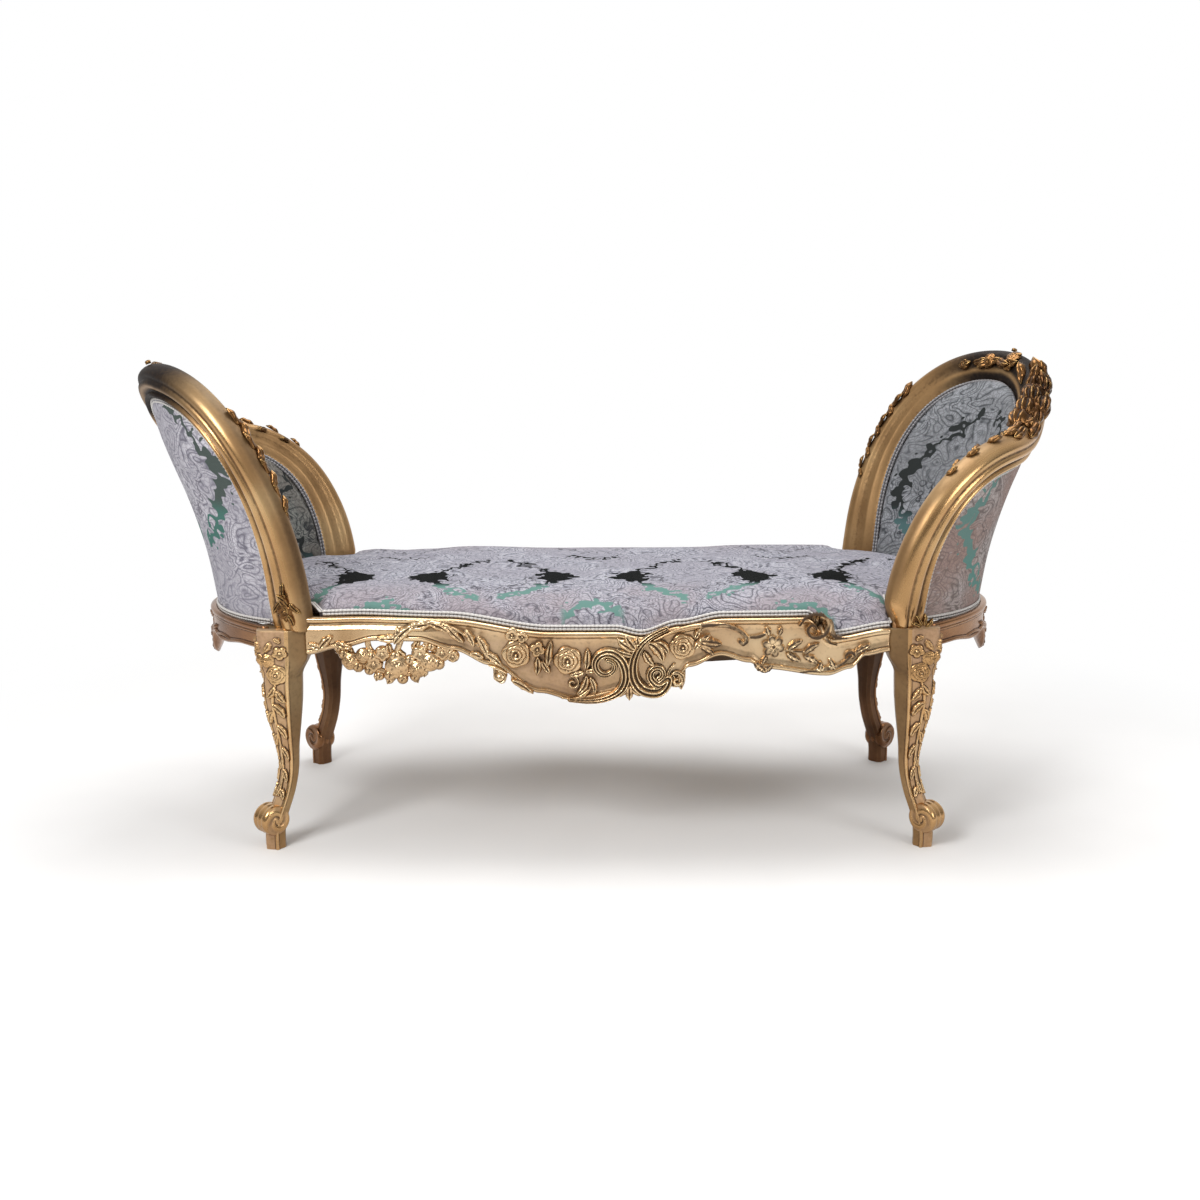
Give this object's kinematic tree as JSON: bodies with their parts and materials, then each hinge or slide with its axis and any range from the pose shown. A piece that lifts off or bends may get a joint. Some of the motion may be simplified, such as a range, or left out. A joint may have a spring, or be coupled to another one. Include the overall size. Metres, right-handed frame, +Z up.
{
  "type": "chaise longue",
  "caption": "Gilded double-ended bench with carved serpentine rails, cabriole legs, bowed out-leaning ends and damask upholstery",
  "frame": {"origin": "on the floor, at the middle of the four feet", "axes": "+X along the bench towards the end whose tall side is at the back, +Y to the back, +Z up"},
  "size_m": [1.6938, 0.6062, 0.8587],
  "materials": {
    "gilt_wood": "water gilded beech, burnished on the mouldings, rubbed to a pinkish ground in the carving",
    "damask": "silver-lilac damask with dark green and teal foliage",
    "gimp": "flat white and silver beaded braid",
    "horsehair": "curled hair stuffing under linen",
    "hessian": "plain hessian",
    "webbing": "herringbone jute webbing",
    "beech": "plain unfinished beech",
    "steel": "plain wood screws"
  },
  "bodies": {
    "root": {"front_rail": "gilt_wood", "back_rail": "gilt_wood", "front_garland": "gilt_wood", "back_garland": "gilt_wood", "front_carving": "gilt_wood", "back_carving": "gilt_wood", "leg_front_left": "gilt_wood", "leg_front_right": "gilt_wood", "leg_back_left": "gilt_wood", "leg_back_right": "gilt_wood", "left_end_rail": "gilt_wood", "right_end_rail": "gilt_wood", "left_low_stile": "gilt_wood", "right_low_stile": "gilt_wood", "left_crest_rail": "gilt_wood", "right_crest_rail": "gilt_wood", "left_tall_stile": "gilt_wood", "right_tall_stile": "gilt_wood", "left_crest_carving": "gilt_wood", "right_crest_carving": "gilt_wood", "seat_cover": "damask", "left_inside_cover": "damask", "right_inside_cover": "damask", "left_outside_cover": "damask", "right_outside_cover": "damask", "seat_gimp": "gimp", "left_inside_gimp": "gimp", "right_inside_gimp": "gimp", "left_outside_gimp": "gimp", "right_outside_gimp": "gimp", "seat_stuffing": "horsehair", "left_inside_stuffing": "horsehair", "right_inside_stuffing": "horsehair", "seat_hessian": "hessian", "left_back_hessian": "hessian", "right_back_hessian": "hessian", "seat_webbing": "webbing", "seat_bearers": "beech", "corner_blocks": "beech", "rail_dowels": "beech", "stile_dowels": "beech", "left_tacking_rail": "beech", "right_tacking_rail": "beech", "corner_screws": "steel"}
  },
  "joints": []
}
